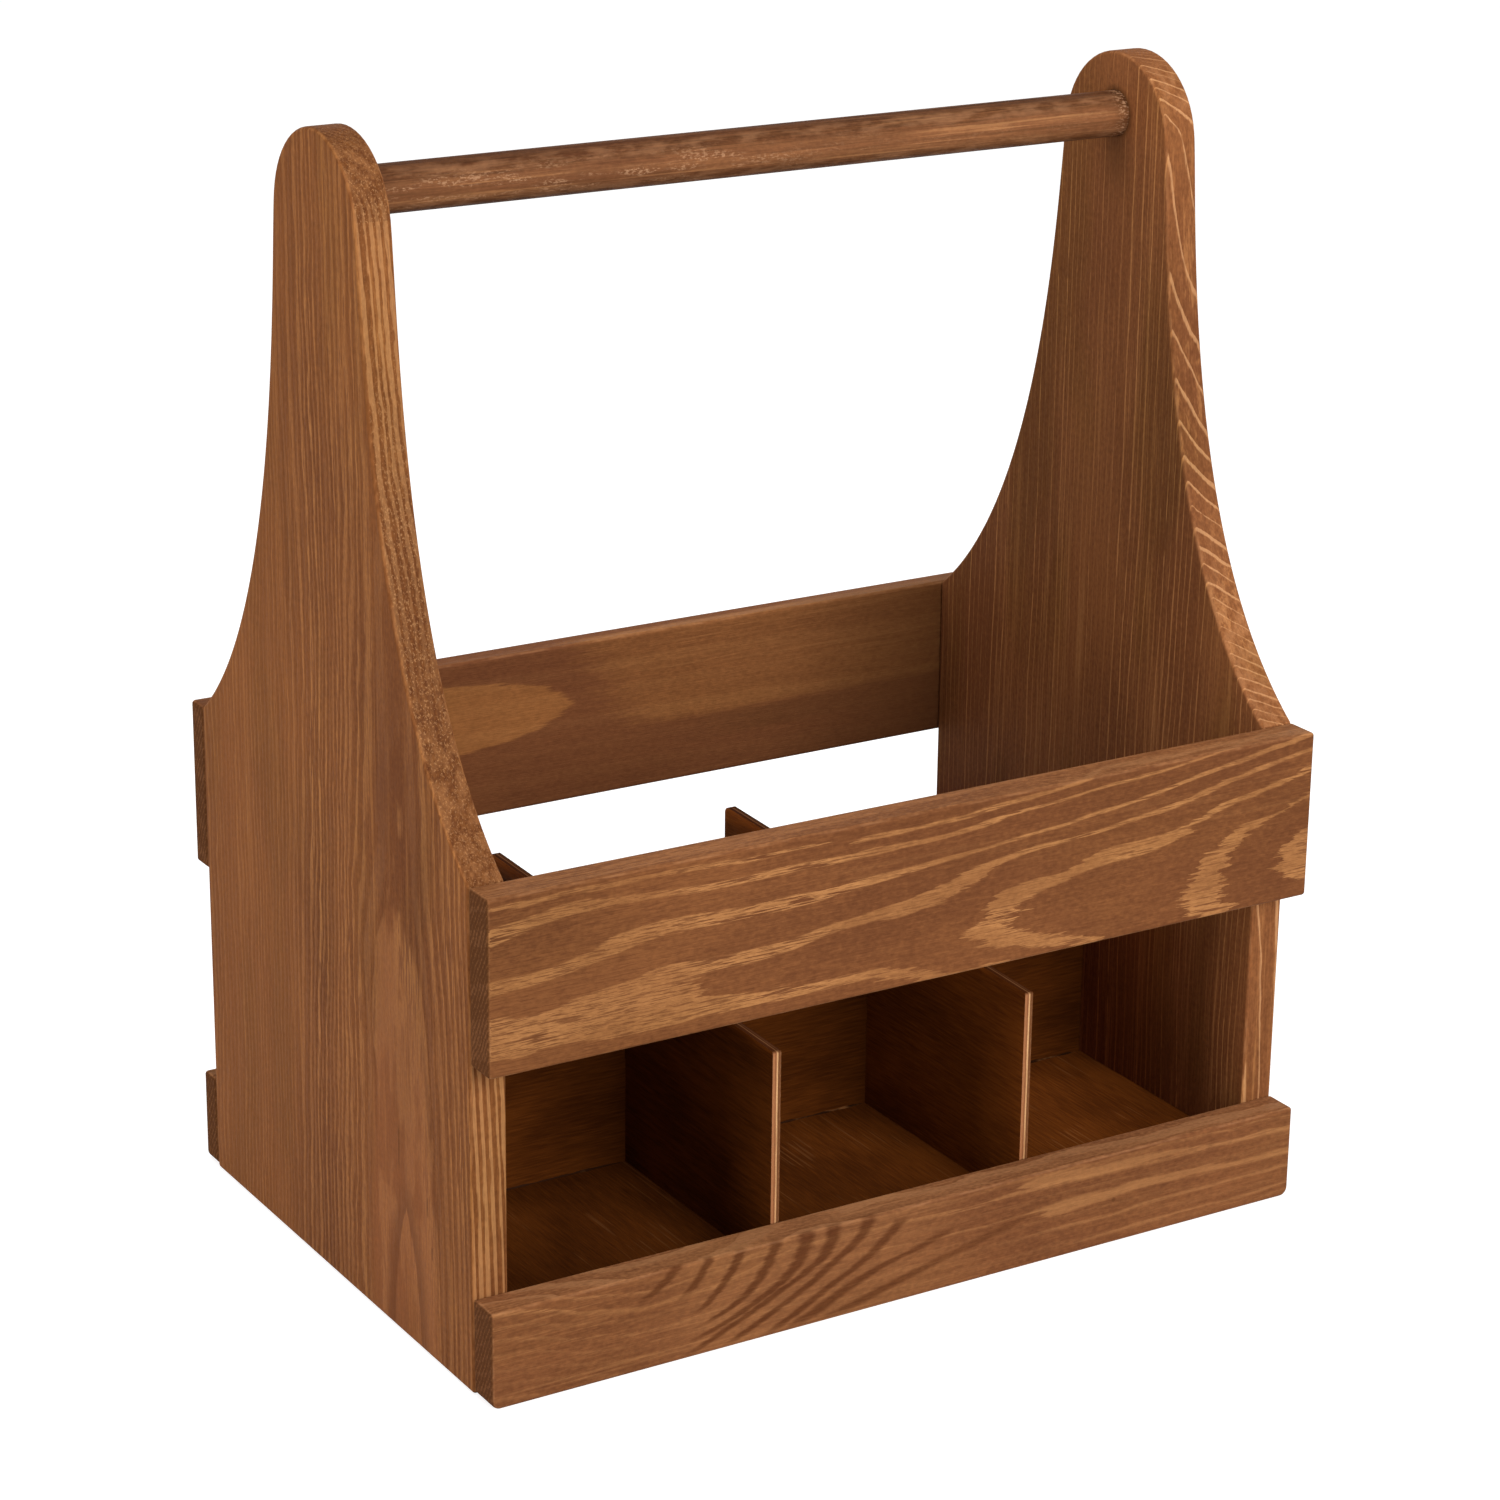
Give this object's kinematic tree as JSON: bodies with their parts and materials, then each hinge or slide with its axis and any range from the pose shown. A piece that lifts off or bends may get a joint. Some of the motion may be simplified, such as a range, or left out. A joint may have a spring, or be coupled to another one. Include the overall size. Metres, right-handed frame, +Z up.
{
  "type": "bottle caddy",
  "caption": "Wooden bottle carrier with bottle-shaped end panels, slatted rails, plywood cell dividers and a round carrying handle.",
  "frame": {"origin": "on the floor, at the centre of the footprint", "axes": "+X along the handle to the right end panel, +Y from the front rails to the back rails, +Z up"},
  "size_m": [0.3, 0.207, 0.3675],
  "materials": {
    "pine_panel": "mid-brown stained pine with fine upright grain, satin",
    "pine_rail": "mid-brown stained pine, flat-sawn bands along the length, satin",
    "pine_dowel": "mid-brown stained round stock, grain along the length, satin",
    "plywood": "dark stained thin plywood with paler cut edges, matt",
    "pin_wood": "unstained hardwood pin, hidden in its bores"
  },
  "bodies": {
    "root": {"left_end_panel": "pine_panel", "right_end_panel": "pine_panel", "front_upper_rail": "pine_rail", "front_lower_rail": "pine_rail", "back_upper_rail": "pine_rail", "back_lower_rail": "pine_rail", "handle": "pine_dowel", "floor_board": "plywood", "long_divider": "plywood", "left_cross_divider": "plywood", "right_cross_divider": "plywood", "front_lower_left_pins": "pin_wood", "front_lower_right_pins": "pin_wood", "front_upper_left_pins": "pin_wood", "front_upper_right_pins": "pin_wood", "back_lower_left_pins": "pin_wood", "back_lower_right_pins": "pin_wood", "back_upper_left_pins": "pin_wood", "back_upper_right_pins": "pin_wood"}
  },
  "joints": []
}
